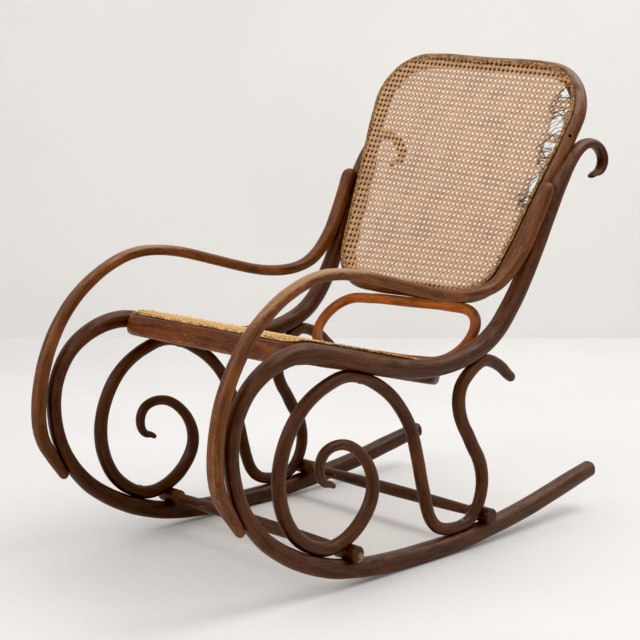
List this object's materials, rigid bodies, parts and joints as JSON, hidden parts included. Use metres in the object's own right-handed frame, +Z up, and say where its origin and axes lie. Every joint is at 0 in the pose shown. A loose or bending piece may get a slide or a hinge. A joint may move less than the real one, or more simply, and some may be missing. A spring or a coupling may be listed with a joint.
{
  "type": "bentwood rocking chair",
  "caption": "Bentwood rocking chair with looped side frames, scroll supports, curved arms, turned stretchers and a caned seat and back.",
  "frame": {"origin": "floor level, in the middle of the chair's width and of its overall depth", "axes": "+Z up, front of the chair towards -Y, the sitter's left towards +X"},
  "size_m": [0.5942, 1.0646, 0.9639],
  "materials": {
    "dark_wood": "worn satin varnish over dark stain",
    "worn_wood": "worn satin varnish, lighter where hands rub",
    "cane": "aged woven rattan cane",
    "cane_binder": "aged flat rattan strip"
  },
  "bodies": {
    "root": {"side_frame_left": "dark_wood", "side_frame_right": "dark_wood", "arm_left": "worn_wood", "arm_right": "worn_wood", "scroll_left": "dark_wood", "scroll_right": "dark_wood", "front_stretcher": "dark_wood", "rear_stretcher": "dark_wood", "seat_frame": "worn_wood", "rear_hoop": "worn_wood", "back_frame": "dark_wood", "seat_cane": "cane", "seat_binder": "cane_binder", "back_cane": "cane", "back_binder": "cane_binder"}
  },
  "joints": []
}
